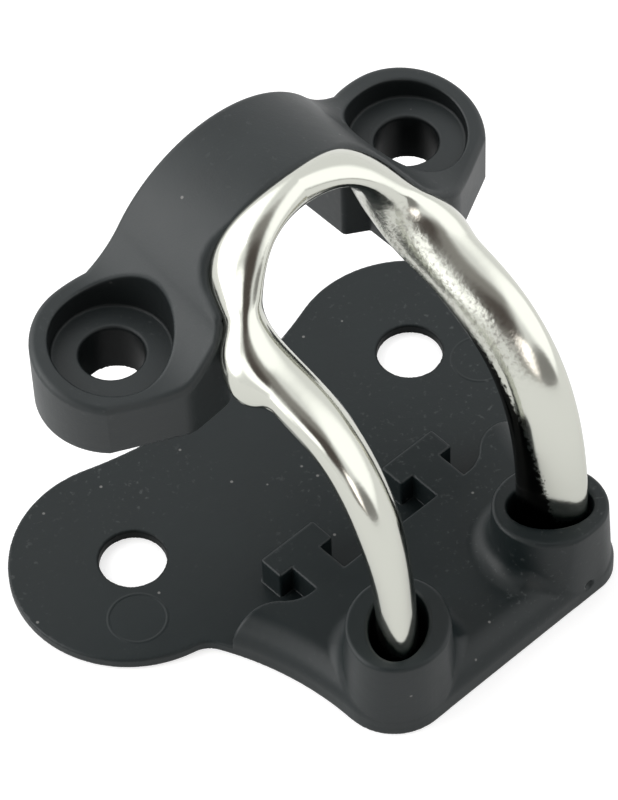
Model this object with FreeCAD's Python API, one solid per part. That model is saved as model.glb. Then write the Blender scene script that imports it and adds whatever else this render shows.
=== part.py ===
import FreeCAD, Part
import math
import os

# Rope fairlead eye that fits over and under a cam cleat: a moulded base plate,
# a moulded bridge and a bent stainless rod. Millimetres, +Z up, the rope side
# faces -Y. The origin is midway between the two screws, on the underside.

# Screw pattern, shared by base plate and bridge
SCREW_SPACING = 27.0
SCREW_HOLE_D = 4.8
CLEAT_GAP = 18.7

# Base plate
PLATE_T = 0.9
LOBE_R = 8.8
WAIST_Y = 6.6
FLANK_R = 23.0
FLANK_FILLET_R = 2.0

# Front block of the base plate
BLOCK_TOP_Z = 3.3
BLOCK_HALF_WIDTH = 11.5
BLOCK_FRONT = 24.3
BLOCK_CORNER_R = 4.1
BLOCK_REAR = 12.15
BLOCK_EDGE_R = 2.1
STEP_START_X = 7.5
STEP_LENGTH = 4.0
STEP_RISE = 1.7

# Bosses and sockets for the legs of the rod
BOSS_TOP_Z = 7.5
BOSS_TOP_LONG = 4.0
BOSS_TOP_SHORT = 3.6
BOSS_FOOT_SETBACK = 0.1
BOSS_SKIRT_R = 1.5
BOSS_SKIRT_LAP = 0.4
SOCKET_FLOOR_Z = 1.3
SOCKET_CLEARANCE = 0.5
SOCKET_ANGLE = 39.0
SOCKET_X = 7.25
SOCKET_Y = -20.55

# T-shaped lugs behind the block
LUG_CENTRE_X = 5.8
LUG_HEAD_WIDTH = 4.95
LUG_HEAD_DEPTH = 2.05
LUG_NECK_WIDTH = 2.7
LUG_NECK_DEPTH = 2.4

# Bridge
BRIDGE_TOP_Z = 32.6
ARCH_OUTER_R = 10.6
ARCH_FLARE_R = 7.0
ARCH_REAR_Y = 5.0
ARCH_FRONT_Y = -2.6
OPENING_HALF_WIDTH = 6.85
ARCH_WALL = 1.75
EAR_R = 5.45
EAR_HEIGHT = 5.3
EAR_SLOPE = 0.16
BRIDGE_HOLE_D = 4.4
HEAD_RECESS_D = 8.3
HEAD_RECESS_FLOOR = 4.1

# Horns of the bridge on both sides of the rod, and the space behind the rod
HORN_INNER_X = 9.0
HORN_OUTER_X = 12.2
HORN_FRONT_Y = -6.45
HORN_SLANT = 0.3
HORN_SWEEP = 1.5
HORN_CORNER_R = 2.2
HORN_TIP_R = 1.3
NOTCH_R = 2.0
RECESS_HALF_WIDTH = 8.4
RECESS_HEIGHT = 7.9
RECESS_DEPTH = 1.9
RECESS_SLANT = 0.95

# Bent rod. Each bend is its distance from the middle, how far it lies ahead
# of the crown and how far below it. The leg's points are measured from the
# middle of the socket's floor: outward, ahead and up.
ROD_CROWN_DROP = 0.38
ROD_CROWN_AHEAD = 1.1
ROD_CROWN_HALF = 3.1
ROD_SHOULDER = (5.94, 0.45, 1.94)
ROD_BEND_IN = (6.93, 0.98, 5.32)
ROD_BEND_OUT = (7.74, 5.66, 7.37)
ROD_SLOPE_END = (7.46, 11.0, 8.71)
ROD_BEND_DOWN = (7.56, 14.36, 12.35)
ROD_LEG_TOP = (0.16, -0.3, 13.06)
ROD_LEG_MIDDLE = (0.15, 0.15, 6.67)
ROD_FOOT = (0.0, 0.0, 0.0)

# Oval section of the rod along its path, as a smooth run through these:
# half the long way, half the short way, and its turn about the upright
CROWN_SECTION = (1.08, 1.28, 90.8)
BROW_SECTION = (1.47, 0.7, 96.0)
SHOULDER_SECTION = (2.79, 1.62, 87.7)
BEND_SECTION = (2.11, 1.5, 60.4)
SLOPE_SECTION = (2.4, 1.6, 52.5)
KNEE_SECTION = (2.44, 1.7, 49.6)
LEG_SECTION = (2.48, 1.35, 52.5)
FOOT_SECTION = (2.5, 1.45, 51.0)

# Steps along half of the rod and corners round it, for its smooth surface
ROD_STEPS = 20
ROD_CORNERS = 16

# Flat knuckle pressed on the outer side of each bend
KNUCKLE_AT = 0.42
KNUCKLE_OUT = 1.9
KNUCKLE_RISE = 0.4
KNUCKLE_THICK = 1.05
KNUCKLE_WIDE = 2.1
KNUCKLE_TALL = 2.4
KNUCKLE_LEAN = 18.6

# Closeness at which an edge counts as lying in its place
MATCH = 0.01

UP = FreeCAD.Vector(0, 0, 1)
SCREW_X = SCREW_SPACING / 2
BRIDGE_Z = PLATE_T + CLEAT_GAP
OPENING_Z = BRIDGE_TOP_Z - ARCH_WALL - OPENING_HALF_WIDTH
RIGHT = 1
LEFT = -1


def point(x, y, z=0.0):
    return FreeCAD.Vector(x, y, z)


def arc(centre, start, end):
    """Shorter arc from start to end about the centre."""
    way = (start - centre) + (end - centre)
    middle = centre + way.normalize() * (start - centre).Length
    return Part.Arc(start, middle, end).toShape()


def line(start, end):
    return Part.makeLine(start, end)


def along(start, target, length):
    """Point at the given distance from start, on the way to target."""
    return start + (target - start).normalize() * length


def circle_meeting(centre_a, reach_a, centre_b, reach_b):
    """Right-hand point at reach_a from centre_a and reach_b from centre_b."""
    span = centre_b - centre_a
    step = (reach_a ** 2 - reach_b ** 2 + span.Length ** 2) / (2 * span.Length)
    side = math.sqrt(reach_a ** 2 - step ** 2)
    axis = span.normalize()
    normal = point(axis.y, -axis.x)
    first = centre_a + axis * step + normal * side
    second = centre_a + axis * step - normal * side
    return first if first.x < second.x else second


def mirrored(shape):
    return shape.mirror(FreeCAD.Vector(0, 0, 0), FreeCAD.Vector(1, 0, 0))


def closed_face(right_edges):
    """Face from the edges of the right half and their mirror images."""
    edges = right_edges + [mirrored(edge) for edge in right_edges]
    return Part.Face(Part.Wire(Part.__sortEdges__(edges)))


def waist_and_lobe():
    """Rear edge from the middle, and the round lobe about the screw."""
    lobe = point(SCREW_X, 0)
    waist_r = (SCREW_X ** 2 + WAIST_Y ** 2 - LOBE_R ** 2) / (2 * (LOBE_R - WAIST_Y))
    waist = point(0, WAIST_Y + waist_r)
    middle = point(0, WAIST_Y)
    touch = along(lobe, waist, LOBE_R)
    tip = point(SCREW_X + LOBE_R, 0)
    return [arc(waist, middle, touch), arc(lobe, touch, tip)]


def flank():
    """From the lobe's tip over the fillet and the hollow side to the front."""
    lobe = point(SCREW_X, 0)
    tip = point(SCREW_X + LOBE_R, 0)
    corner_y = BLOCK_CORNER_R - BLOCK_FRONT
    side = point(BLOCK_HALF_WIDTH + FLANK_R, corner_y)
    fillet = circle_meeting(lobe, LOBE_R + FLANK_FILLET_R, side, FLANK_R - FLANK_FILLET_R)
    lobe_end = along(lobe, fillet, LOBE_R)
    side_start = along(side, fillet, FLANK_R)
    side_end = point(BLOCK_HALF_WIDTH, corner_y)
    corner = point(BLOCK_HALF_WIDTH - BLOCK_CORNER_R, corner_y)
    front = point(corner.x, -BLOCK_FRONT)
    return [
        arc(lobe, tip, lobe_end),
        arc(fillet, lobe_end, side_start),
        arc(side, side_start, side_end),
        arc(corner, side_end, front),
        line(front, point(0, -BLOCK_FRONT)),
    ]


def block_region():
    """Plan area in front of the block's stepped rear edge."""
    bend_r = (STEP_LENGTH ** 2 + STEP_RISE ** 2) / (4 * STEP_RISE)
    start = point(STEP_START_X, -BLOCK_REAR)
    middle = start + point(STEP_LENGTH / 2, STEP_RISE / 2)
    end = start + point(STEP_LENGTH, STEP_RISE)
    beyond = SCREW_X + LOBE_R
    ahead = -BLOCK_FRONT - LOBE_R
    return closed_face([
        line(point(0, -BLOCK_REAR), start),
        arc(start + point(0, bend_r), start, middle),
        arc(end - point(0, bend_r), middle, end),
        line(end, point(beyond, end.y)),
        line(point(beyond, end.y), point(beyond, ahead)),
        line(point(beyond, ahead), point(0, ahead)),
    ])


def is_level(edge, z):
    return all(abs(vertex.Z - z) < MATCH for vertex in edge.Vertexes)


def on_rear_edge(edge):
    return edge.CenterOfMass.y > -BLOCK_REAR - STEP_RISE


def front_block(outline, top_z, edge_r):
    """Block under the plan area, rounded along the flanks, corners and front."""
    block = outline.extrude(UP * top_z).common(block_region().extrude(UP * top_z))
    rounded = [edge for edge in block.Edges if is_level(edge, top_z) and not on_rear_edge(edge)]
    return block.makeFillet(edge_r, rounded)


def oval(centre, half_length, half_width):
    """Level oval on the right side, its long way toward the front corner."""
    ring = Part.Ellipse(FreeCAD.Vector(0, 0, 0), half_length, half_width).toShape()
    ring.rotate(FreeCAD.Vector(0, 0, 0), UP, -SOCKET_ANGLE)
    ring.translate(centre)
    return Part.Wire(ring)


def boss():
    """Right boss: round within the block's corner at its foot, oval on top."""
    foot_r = BLOCK_CORNER_R - BOSS_FOOT_SETBACK
    foot = oval(point(BLOCK_HALF_WIDTH - BLOCK_CORNER_R, BLOCK_CORNER_R - BLOCK_FRONT), foot_r, foot_r)
    top = oval(point(SOCKET_X, SOCKET_Y, BOSS_TOP_Z), BOSS_TOP_LONG, BOSS_TOP_SHORT)
    return Part.makeLoft([foot, top], True, True)


def boss_skirt(outline):
    """Hollow fillet from the right boss down to the block's top."""
    top_z = BLOCK_TOP_Z + BOSS_SKIRT_R
    foot_r = BLOCK_CORNER_R - BOSS_FOOT_SETBACK
    top_r = (BOSS_TOP_LONG + BOSS_TOP_SHORT) / 2
    inner = foot_r + (top_r - foot_r) * top_z / BOSS_TOP_Z
    outer = inner + BOSS_SKIRT_R
    foot = BLOCK_TOP_Z - BLOCK_EDGE_R + BOSS_SKIRT_LAP
    start = point(outer, 0, BLOCK_TOP_Z)
    top = point(inner, 0, top_z)
    profile = Part.Face(Part.Wire([
        arc(point(outer, 0, top_z), start, top),
        line(top, point(0, 0, top_z)),
        line(point(0, 0, top_z), point(0, 0, foot)),
        line(point(0, 0, foot), point(outer, 0, foot)),
        line(point(outer, 0, foot), start),
    ]))
    skirt = profile.revolve(point(0, 0), UP, 360)
    skirt.translate(point(BLOCK_HALF_WIDTH - BLOCK_CORNER_R, BLOCK_CORNER_R - BLOCK_FRONT))
    return skirt.common(front_block(outline, top_z, BLOCK_EDGE_R + BOSS_SKIRT_R + BOSS_SKIRT_LAP / 2))


def socket():
    """Oval blind hole in the right boss that holds one leg of the rod."""
    half_length = FOOT_SECTION[0] + SOCKET_CLEARANCE
    half_width = FOOT_SECTION[1] + SOCKET_CLEARANCE
    floor = Part.Face(oval(point(SOCKET_X, SOCKET_Y, SOCKET_FLOOR_Z), half_length, half_width))
    return floor.extrude(UP * BOSS_TOP_Z)


def lug(side):
    """T-shaped lug: a neck from the block's rear edge and a wider head."""
    neck_y = -BLOCK_REAR
    head_y = neck_y + LUG_NECK_DEPTH
    neck = Part.makeBox(LUG_NECK_WIDTH, LUG_NECK_DEPTH, BLOCK_TOP_Z,
                        point(side * LUG_CENTRE_X - LUG_NECK_WIDTH / 2, neck_y))
    head = Part.makeBox(LUG_HEAD_WIDTH, LUG_HEAD_DEPTH, BLOCK_TOP_Z,
                        point(side * LUG_CENTRE_X - LUG_HEAD_WIDTH / 2, head_y))
    return neck.fuse(head)


def screw_hole(side, diameter, low, high):
    return Part.makeCylinder(diameter / 2, high - low, point(side * SCREW_X, 0, low))


def base_plate():
    outline = closed_face(waist_and_lobe() + flank())
    body = outline.extrude(UP * PLATE_T).fuse(front_block(outline, BLOCK_TOP_Z, BLOCK_EDGE_R))
    raised = [boss(), boss_skirt(outline)]
    body = body.fuse([lug(RIGHT), lug(LEFT)] + raised + [mirrored(shape) for shape in raised])
    holes = [screw_hole(side, SCREW_HOLE_D, -PLATE_T, 2 * PLATE_T) for side in (RIGHT, LEFT)]
    return body.cut(holes + [socket(), mirrored(socket())]).removeSplitter()


def bridge_plan():
    """Plan outline: rear, ear, horn beside the rod, and the front of the arch."""
    ear = point(SCREW_X, 0)
    tip = point(SCREW_X + EAR_R, 0)
    rear_x = SCREW_X - math.sqrt(EAR_R ** 2 - ARCH_REAR_Y ** 2)
    rear = point(rear_x, ARCH_REAR_Y)
    ear_top = point(SCREW_X, EAR_R)
    horn_outer = point(HORN_OUTER_X, HORN_FRONT_Y)
    ear_front = ear + point(1, -1).normalize() * EAR_R
    horn_inner = point(HORN_INNER_X, HORN_FRONT_Y + HORN_SLANT)
    notch = point(HORN_INNER_X - HORN_SWEEP, ARCH_FRONT_Y)
    return closed_face([
        line(point(0, ARCH_REAR_Y), rear),
        arc(ear, rear, ear_top),
        arc(ear, ear_top, tip),
        arc(ear, tip, ear_front),
        line(ear_front, horn_outer),
        line(horn_outer, horn_inner),
        line(horn_inner, notch),
        line(notch, point(0, ARCH_FRONT_Y)),
    ])


def bridge_profile(y):
    """Front view of the bridge's outside, with the ears' height at this y."""
    crown = point(0, y, BRIDGE_TOP_Z - ARCH_OUTER_R)
    ear_z = BRIDGE_Z + EAR_HEIGHT + EAR_SLOPE * y
    drop = ear_z - crown.z
    reach = ARCH_OUTER_R + ARCH_FLARE_R
    flare_x = math.sqrt(reach ** 2 - (drop + ARCH_FLARE_R) ** 2)
    flare = point(flare_x, y, ear_z + ARCH_FLARE_R)
    top = point(0, y, BRIDGE_TOP_Z)
    touch = along(crown, flare, ARCH_OUTER_R)
    ear_start = point(flare_x, y, ear_z)
    end_x = SCREW_X + 2 * EAR_R
    right = [
        arc(crown, top, touch),
        arc(flare, touch, ear_start),
        line(ear_start, point(end_x, y, ear_z)),
        line(point(end_x, y, ear_z), point(end_x, y, BRIDGE_Z)),
        line(point(end_x, y, BRIDGE_Z), point(0, y, BRIDGE_Z)),
    ]
    edges = right + [mirrored(edge) for edge in right]
    return Part.Wire(Part.__sortEdges__(edges))


def arch_opening():
    """Round-topped passage through the bridge."""
    depth = 4 * EAR_R
    below = BRIDGE_Z - ARCH_WALL
    box = Part.makeBox(2 * OPENING_HALF_WIDTH, depth, OPENING_Z - below,
                       point(-OPENING_HALF_WIDTH, -depth / 2, below))
    vault = Part.makeCylinder(OPENING_HALF_WIDTH, depth,
                              point(0, -depth / 2, OPENING_Z), point(0, 1))
    return box.fuse(vault)


def upright_edges(solid, x):
    """Vertical edges on both sides at this distance from the middle."""
    return [
        edge for edge in solid.Edges
        if abs(abs(edge.CenterOfMass.x) - x) < MATCH and abs(edge.CenterOfMass.z - BRIDGE_TOP_Z / 2) < MATCH
    ]


def bridge_prism():
    """Plan of the bridge carried up, with its upright corners rounded."""
    prism = bridge_plan().extrude(UP * BRIDGE_TOP_Z)
    prism = prism.makeFillet(HORN_CORNER_R, upright_edges(prism, HORN_OUTER_X))
    prism = prism.makeFillet(HORN_TIP_R, upright_edges(prism, HORN_INNER_X))
    return prism.makeFillet(NOTCH_R, upright_edges(prism, HORN_INNER_X - HORN_SWEEP))


def rod_recess():
    """Space for the rod's bends under the front of the arch, between the horns."""
    floor_y = ARCH_FRONT_Y + RECESS_DEPTH
    near = point(OPENING_HALF_WIDTH, floor_y, BRIDGE_Z)
    far = point(RECESS_HALF_WIDTH, floor_y - RECESS_SLANT, BRIDGE_Z)
    ahead = 2 * HORN_FRONT_Y
    middle = point(0, floor_y, BRIDGE_Z)
    floor = closed_face([
        line(middle, near),
        line(near, far),
        line(far, point(far.x, ahead, BRIDGE_Z)),
        line(point(far.x, ahead, BRIDGE_Z), point(0, ahead, BRIDGE_Z)),
    ])
    return floor.extrude(UP * RECESS_HEIGHT)


def bridge(rod):
    shell = Part.makeLoft([bridge_profile(-2 * EAR_R), bridge_profile(2 * EAR_R)], True, True)
    floor = BRIDGE_Z + HEAD_RECESS_FLOOR
    holes = [screw_hole(side, BRIDGE_HOLE_D, 0, BRIDGE_TOP_Z) for side in (RIGHT, LEFT)]
    recesses = [screw_hole(side, HEAD_RECESS_D, floor, BRIDGE_TOP_Z) for side in (RIGHT, LEFT)]
    body = shell.common(bridge_prism())
    return body.cut([arch_opening(), rod_recess()] + holes + recesses + [rod]).removeSplitter()


def rod_path():
    """Centre line of the right half, from the crown down to the socket."""
    top_y = ARCH_FRONT_Y - ROD_CROWN_AHEAD
    top_z = BRIDGE_TOP_Z - ROD_CROWN_DROP
    bends = [ROD_SHOULDER, ROD_BEND_IN, ROD_BEND_OUT, ROD_SLOPE_END, ROD_BEND_DOWN]
    leg = [ROD_LEG_TOP, ROD_LEG_MIDDLE, ROD_FOOT]
    poles = [point(0, top_y, top_z), point(ROD_CROWN_HALF, top_y, top_z)]
    poles += [point(x, top_y - ahead, top_z - down) for x, ahead, down in bends]
    poles += [point(SOCKET_X + out, SOCKET_Y - ahead, SOCKET_FLOOR_Z + up) for out, ahead, up in leg]
    curve = Part.BSplineCurve()
    curve.buildFromPoles(poles, False, 3)
    return curve


def rod_sizes():
    """Half sizes and turn of the oval section, smooth along the path."""
    sections = [
        CROWN_SECTION, BROW_SECTION, SHOULDER_SECTION, BEND_SECTION,
        SLOPE_SECTION, KNEE_SECTION, LEG_SECTION, FOOT_SECTION,
    ]
    sizes = Part.BSplineCurve()
    sizes.buildFromPoles([point(*section) for section in sections], False, 3)
    return sizes


def rod_rim(share, curve, sizes):
    """Points round the right half of the rod at this share of the path."""
    centre = curve.value(share)
    tangent = curve.tangent(share)[0]
    if share == 1:
        tangent = -UP
    size = sizes.value(share)
    turn = math.radians(-size.z)
    wide = point(math.cos(turn), math.sin(turn))
    wide = (wide - tangent * wide.dot(tangent)).normalize()
    flat = tangent.cross(wide)
    angles = [2 * math.pi * step / ROD_CORNERS for step in range(ROD_CORNERS)]
    rim = [centre + wide * (size.x * math.cos(a)) + flat * (size.y * math.sin(a)) for a in angles]
    return rim + [rim[0]]


def knuckle():
    """Flattened oval bump outside the right bend."""
    bump = Part.makeSphere(1)
    scale = FreeCAD.Matrix()
    scale.scale(FreeCAD.Vector(KNUCKLE_THICK, KNUCKLE_WIDE, KNUCKLE_TALL))
    bump = bump.transformGeometry(scale)
    bump.rotate(FreeCAD.Vector(0, 0, 0), FreeCAD.Vector(0, 1, 0), -KNUCKLE_LEAN)
    bump.translate(rod_path().value(KNUCKLE_AT) + point(KNUCKLE_OUT, 0, KNUCKLE_RISE))
    return bump


def wire_eye():
    """Rod from foot to foot, with a knuckle on each side."""
    curve = rod_path()
    sizes = rod_sizes()
    right = [rod_rim(step / ROD_STEPS, curve, sizes) for step in range(ROD_STEPS + 1)]
    left = [[point(-p.x, p.y, p.z) for p in rim] for rim in right[:0:-1]]
    surface = Part.BSplineSurface()
    surface.interpolate(left + right)
    skin = surface.toShape()
    ends = [edge for edge in skin.Edges if edge.isClosed()]
    caps = [Part.Face(Part.Wire(edge)) for edge in ends]
    shell = Part.makeShell([skin] + caps)
    shell.sewShape()
    rod = Part.makeSolid(shell)
    return rod.fuse([knuckle(), mirrored(knuckle())]).removeSplitter()


def main():
    os.makedirs("parts", exist_ok=True)
    rod = wire_eye()
    nodes = {"bridge": bridge(rod), "wire_eye": rod, "base_plate": base_plate()}
    for name, shape in nodes.items():
        shape.exportStep("parts/" + name + ".step")


main()
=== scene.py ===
import math

import bpy
import numpy as np
from mathutils import Matrix, Vector


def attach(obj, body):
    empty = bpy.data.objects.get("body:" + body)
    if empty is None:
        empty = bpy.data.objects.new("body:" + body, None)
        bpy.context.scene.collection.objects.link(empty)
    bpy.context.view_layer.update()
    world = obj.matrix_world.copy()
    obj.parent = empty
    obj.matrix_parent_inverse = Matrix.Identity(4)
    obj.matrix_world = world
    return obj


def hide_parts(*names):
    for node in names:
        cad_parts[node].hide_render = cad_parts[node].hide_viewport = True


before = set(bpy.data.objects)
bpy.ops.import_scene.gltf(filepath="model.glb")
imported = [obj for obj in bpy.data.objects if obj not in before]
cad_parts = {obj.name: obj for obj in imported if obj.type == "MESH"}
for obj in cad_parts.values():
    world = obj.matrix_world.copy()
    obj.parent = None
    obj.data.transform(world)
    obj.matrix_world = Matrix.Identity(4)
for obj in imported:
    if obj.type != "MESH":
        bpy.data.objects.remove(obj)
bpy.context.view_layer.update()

# Sizes are in millimetres, as in the frame's source, and turned into metres
# when a mesh is made. +X is right, -Y is the rope side, +Z is up.
MM = 0.001
# A length that reaches well past the part
FAR = 40.0

# Screw holes of the base plate and the bridge
SCREW_X = 13.5
SCREW_HOLE_R = 2.4
BRIDGE_HOLE_R = 2.2

# Base plate: thickness and outline
PLATE_T = 0.9
LOBE_R = 8.8
WAIST_Y = 6.6
FLANK_R = 23.0
FLANK_FILLET_R = 2.0
# Its front block, with a step in the rear edge
BLOCK_TOP_Z = 3.3
BLOCK_HALF_WIDTH = 11.5
BLOCK_FRONT = 24.3
BLOCK_CORNER_R = 4.1
RIGHT_CORNER_R = 2.7
BLOCK_REAR = 12.15
BLOCK_EDGE_R = 2.1
STEP_START_X = 7.5
STEP_LENGTH = 4.0
STEP_RISE = 1.7
# Bosses, tapered toward the top, and the sockets in them
BOSS_TOP_Z = 7.5
BOSS_TOP_LONG = 4.05
BOSS_TOP_SHORT = 3.6
BOSS_FOOT_GROWTH = 0.4
BOSS_SKIRT_R = 1.5
LEAST_SKIRT_SHARE = 0.02
SOCKET_FLOOR_Z = 1.3
SOCKET_X = 7.25
SOCKET_Y = -20.55
SOCKET_HALF_LENGTH = 3.0
SOCKET_HALF_WIDTH = 2.0
SOCKET_ANGLE = math.radians(39.0)
# T-shaped lugs; their necks reach into the head and the block
LUG_CENTRE_X = 5.8
LUG_HEAD_HALF = 2.47
LUG_HEAD_Y = (-9.75, -7.7)
LUG_NECK_HALF = 1.35
NECK_IN_BLOCK = 1.0
NECK_IN_HEAD = 0.5
# Small pit in the front face of the block
PIT_CENTRE = (7.45, -24.4, 1.6)
PIT_R = 0.42
# Ring marks left in the plate's top by the mould: centre and radius
EJECTOR_RINGS = [((16.65, -4.1), 2.07)]
# Radii of the base plate's rounded edges
PLATE_EDGE_R = 0.12
UNDER_EDGE_R = 0.2
REAR_EDGE_R = 0.2
BOSS_TOP_EDGE_R = 0.3
BOSS_FRONT_EDGE_R = 0.3
SOCKET_EDGE_R = 0.3
SCREW_EDGE_R = 0.1
PIT_EDGE_R = 0.1
LUG_CORNER_R = 0.15
LUG_EDGE_R = 0.18
# Box and step of the grid that its skin is made on
BASE_BOX = ((-22.4, -24.4, -0.1), (22.4, 8.9, 7.6))
BASE_GRID = 0.176

# Bridge: arch, flare onto the ears and rope opening
BRIDGE_Z = 19.6
BRIDGE_TOP_Z = 32.6
ARCH_OUTER_R = 10.6
ARCH_FLARE_R = 7.0
ARCH_REAR_Y = 5.0
ARCH_FRONT_Y = -2.6
OPENING_R = 6.85
OPENING_Z = 24.0
# Sloping ears with a recess for each screw's head
EAR_R = 5.45
EAR_TOP_Z = 24.9
EAR_SLOPE = 0.16
EAR_FRONT_END = math.radians(-45.0)
HEAD_RECESS_R = 4.15
HEAD_RECESS_Z = 23.7
# Horns beside the rod
HORN_INNER_X = 8.35
HORN_OUTER_X = 12.2
HORN_FRONT_Y = -6.45
HORN_SLANT = 0.3
HORN_SWEEP = 1.2
HORN_CORNER_R = 2.2
HORN_TIP_R = 1.3
NOTCH_R = 2.0
# Recess in the front that takes the rod
RECESS_HALF_WIDTH = 8.4
RECESS_HEIGHT = 7.9
RECESS_DEPTH = 1.9
RECESS_SLANT = 0.95
# Radii of the bridge's rounded edges. The top one grows beside the rod, from
# the inner x over the rise, and back to the outer x over the fall.
TOP_EDGE_R = 0.5
TOP_EDGE_GROWTH = 0.6
GROWTH_INNER_X = 4.5
GROWTH_RISE = 2.5
GROWTH_OUTER_X = 9.6
GROWTH_FALL = 0.8
LOWER_EDGE_R = 0.4
OPENING_EDGE_R = 0.2
ROD_RECESS_EDGE_R = 0.25
BRIDGE_HOLE_EDGE_R = 0.06
HEAD_RECESS_FLOOR_R = 0.2
HEAD_RECESS_EDGE_R = 0.25
# Box and step of the grid that its skin is made on
BRIDGE_BOX = ((-19.1, -6.5, 19.5), (19.1, 5.6, 32.7))
BRIDGE_GRID = 0.135

# Number of points along each arc of the outlines
WAIST_POINTS = 24
LOBE_POINTS = 60
FILLET_POINTS = 12
FLANK_POINTS = 16
BLOCK_CORNER_POINTS = 20
STEP_POINTS = 10
EAR_POINTS = 70
HORN_POINTS = 12

# Path of the rod's right half: control points of a smooth curve
ROD_POLES = [
    (0.0, -3.7, 32.22),
    (3.09, -3.7, 32.22),
    (5.94, -4.15, 30.28),
    (6.93, -4.68, 26.9),
    (7.74, -9.36, 24.85),
    (7.46, -14.7, 23.51),
    (7.56, -18.06, 19.87),
    (7.41, -20.25, 14.36),
    (7.4, -20.7, 7.97),
    (7.25, -20.55, 1.3),
]
# Its oval section along the path: half length, half width, turn in degrees
ROD_SIZES = [
    (1.08, 1.28, 90.8),
    (1.47, 0.7, 96.0),
    (2.79, 1.62, 87.7),
    (2.11, 1.5, 60.4),
    (2.4, 1.6, 52.5),
    (2.44, 1.7, 49.6),
    (2.48, 1.28, 53.9),
    (2.57, 1.54, 53.2),
]
ROD_FOOT_Z = 1.3
# Samples of the path for a first guess of its nearest place, and the rounds
# that better the guess
ROD_SAMPLES = 120
NEAREST_ROUNDS = 3
# Flat bump pressed out at each bend: centre, half sizes, where it faces, turn
KNUCKLE_CENTRE = (9.24, -8.27, 25.09)
KNUCKLE_HALF = (1.0, 1.3, 2.15)
KNUCKLE_FACING = (0.412, -0.473, 0.779)
KNUCKLE_TURN = math.radians(-162.1)
KNUCKLE_BLEND = 1.5
# Step and box of the grid for its right half, and how far from the path the
# distance is worked out
ROD_GRID = 0.15
ROD_HALF_BOX = ((0, -24.0, ROD_FOOT_Z - 3 * ROD_GRID), (11.5, -1.0, 33.6))
ROD_BAND = 3.4

# How far points are moved to feel a shape's slope: to settle on its surface,
# and to shade the moulded pieces and the rod
SETTLE_REACH = 0.004
MOULDED_REACH = 0.03
ROD_REACH = 0.02
# Rounds of settling, and the most that a round and all of them move a point,
# as shares of a grid step
SETTLE_ROUNDS = 3
ROUND_LIMIT = 0.5
SETTLE_LIMIT = 0.7

# Least values, against dividing by nothing
SAME_POINT = 1e-12
LEAST_SLOPE = 1e-6
LEAST_DRIFT = 1e-9
LEAST_RATE = 1e-3
LEAST_SQUARE = 1e-6
# Smooth curves run from 0 to 1: their degree, the last place that is read and
# the small step that their change is felt over
CURVE_DEGREE = 3
CURVE_END = 1 - 1e-9
CURVE_STEP = 1e-5


# --- shapes as signed distances: negative inside, joined with round edges ---
def meet(a, b, radius):
    """What is inside both, with its edge rounded to the radius."""
    past_a = np.maximum(a + radius, 0)
    past_b = np.maximum(b + radius, 0)
    return np.minimum(np.maximum(a, b), -radius) + np.hypot(past_a, past_b)


def join(a, b, radius):
    """What is inside either, with the corner between them filled to the radius."""
    return -meet(-a, -b, radius)


def cut(a, b, radius):
    """What is inside a and outside b."""
    return meet(a, -b, radius)


def slab(value, low, high):
    """What lies between low and high."""
    return np.maximum(low - value, value - high)


def ellipse(along, across, half_length, half_width):
    """Close to the distance from an ellipse, given in its own axes."""
    share = np.hypot(along / half_length, across / half_width)
    rate = np.hypot(along / half_length ** 2, across / half_width ** 2)
    return share * (share - 1) / np.maximum(rate, LEAST_RATE)


# --- outlines in plan ---
def bearing(start, end):
    """Angle of the way from start to end, in radians."""
    return math.atan2(end[1] - start[1], end[0] - start[0])


def arc_points(centre, radius, start, end, count):
    """Points along an arc, angles in radians, both ends included."""
    angles = np.linspace(start, end, count)
    return np.stack([centre[0] + radius * np.cos(angles), centre[1] + radius * np.sin(angles)], -1)


def rounded(before, corner, after, radius):
    """Points of the arc that rounds this corner of an outline."""
    corner = np.array(corner)
    back = np.subtract(before, corner)
    onward = np.subtract(after, corner)
    back = back / np.hypot(*back)
    onward = onward / np.hypot(*onward)
    half = math.acos(np.dot(back, onward)) / 2
    middle = (back + onward) / np.hypot(*(back + onward))
    centre = corner + middle * radius / math.sin(half)
    reach = radius / math.tan(half)
    start = bearing(centre, corner + back * reach)
    turn = (bearing(centre, corner + onward * reach) - start + math.pi) % math.tau - math.pi
    return arc_points(centre, radius, start, start + turn, HORN_POINTS)


def whole_outline(right, mirrored):
    """Closed outline from its right half and the mirror image of its left."""
    return np.concatenate([right, mirrored[::-1] * np.array([-1, 1])])


def outline_distance(x, y, points):
    """Signed distance on the plane to a closed outline of straight runs."""
    nearest = np.full(np.broadcast(x, y).shape, np.inf)
    inside = np.zeros(nearest.shape, bool)
    for (ax, ay), (bx, by) in zip(points, np.roll(points, -1, axis=0)):
        dx, dy = bx - ax, by - ay
        square = dx * dx + dy * dy
        if square < SAME_POINT:
            continue
        share = np.clip(((x - ax) * dx + (y - ay) * dy) / square, 0, 1)
        nearest = np.minimum(nearest, (x - ax - share * dx) ** 2 + (y - ay - share * dy) ** 2)
        if dy:
            inside ^= ((ay > y) != (by > y)) & (x < ax + (y - ay) * dx / dy)
    distance = np.sqrt(nearest)
    return np.where(inside, -distance, distance)


# --- skins: a mesh of a shape's surface ---
CORNERS = np.array([(i, j, k) for i in (0, 1) for j in (0, 1) for k in (0, 1)])
CELL_EDGES = [(a, b) for a in range(len(CORNERS)) for b in range(a + 1, len(CORNERS))
              if abs(CORNERS[a] - CORNERS[b]).sum() == 1]


def grid(low, high, step):
    """Axes of a grid over the box, ready to be combined."""
    axes = [np.arange(a, b + step, step) for a, b in zip(low, high)]
    return np.meshgrid(*axes, indexing="ij", sparse=True)


def at_corner(values, corner):
    """The grid's values at this corner of every cell."""
    return values[tuple(slice(at, at + size - 1) for at, size in zip(corner, values.shape))]


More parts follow.
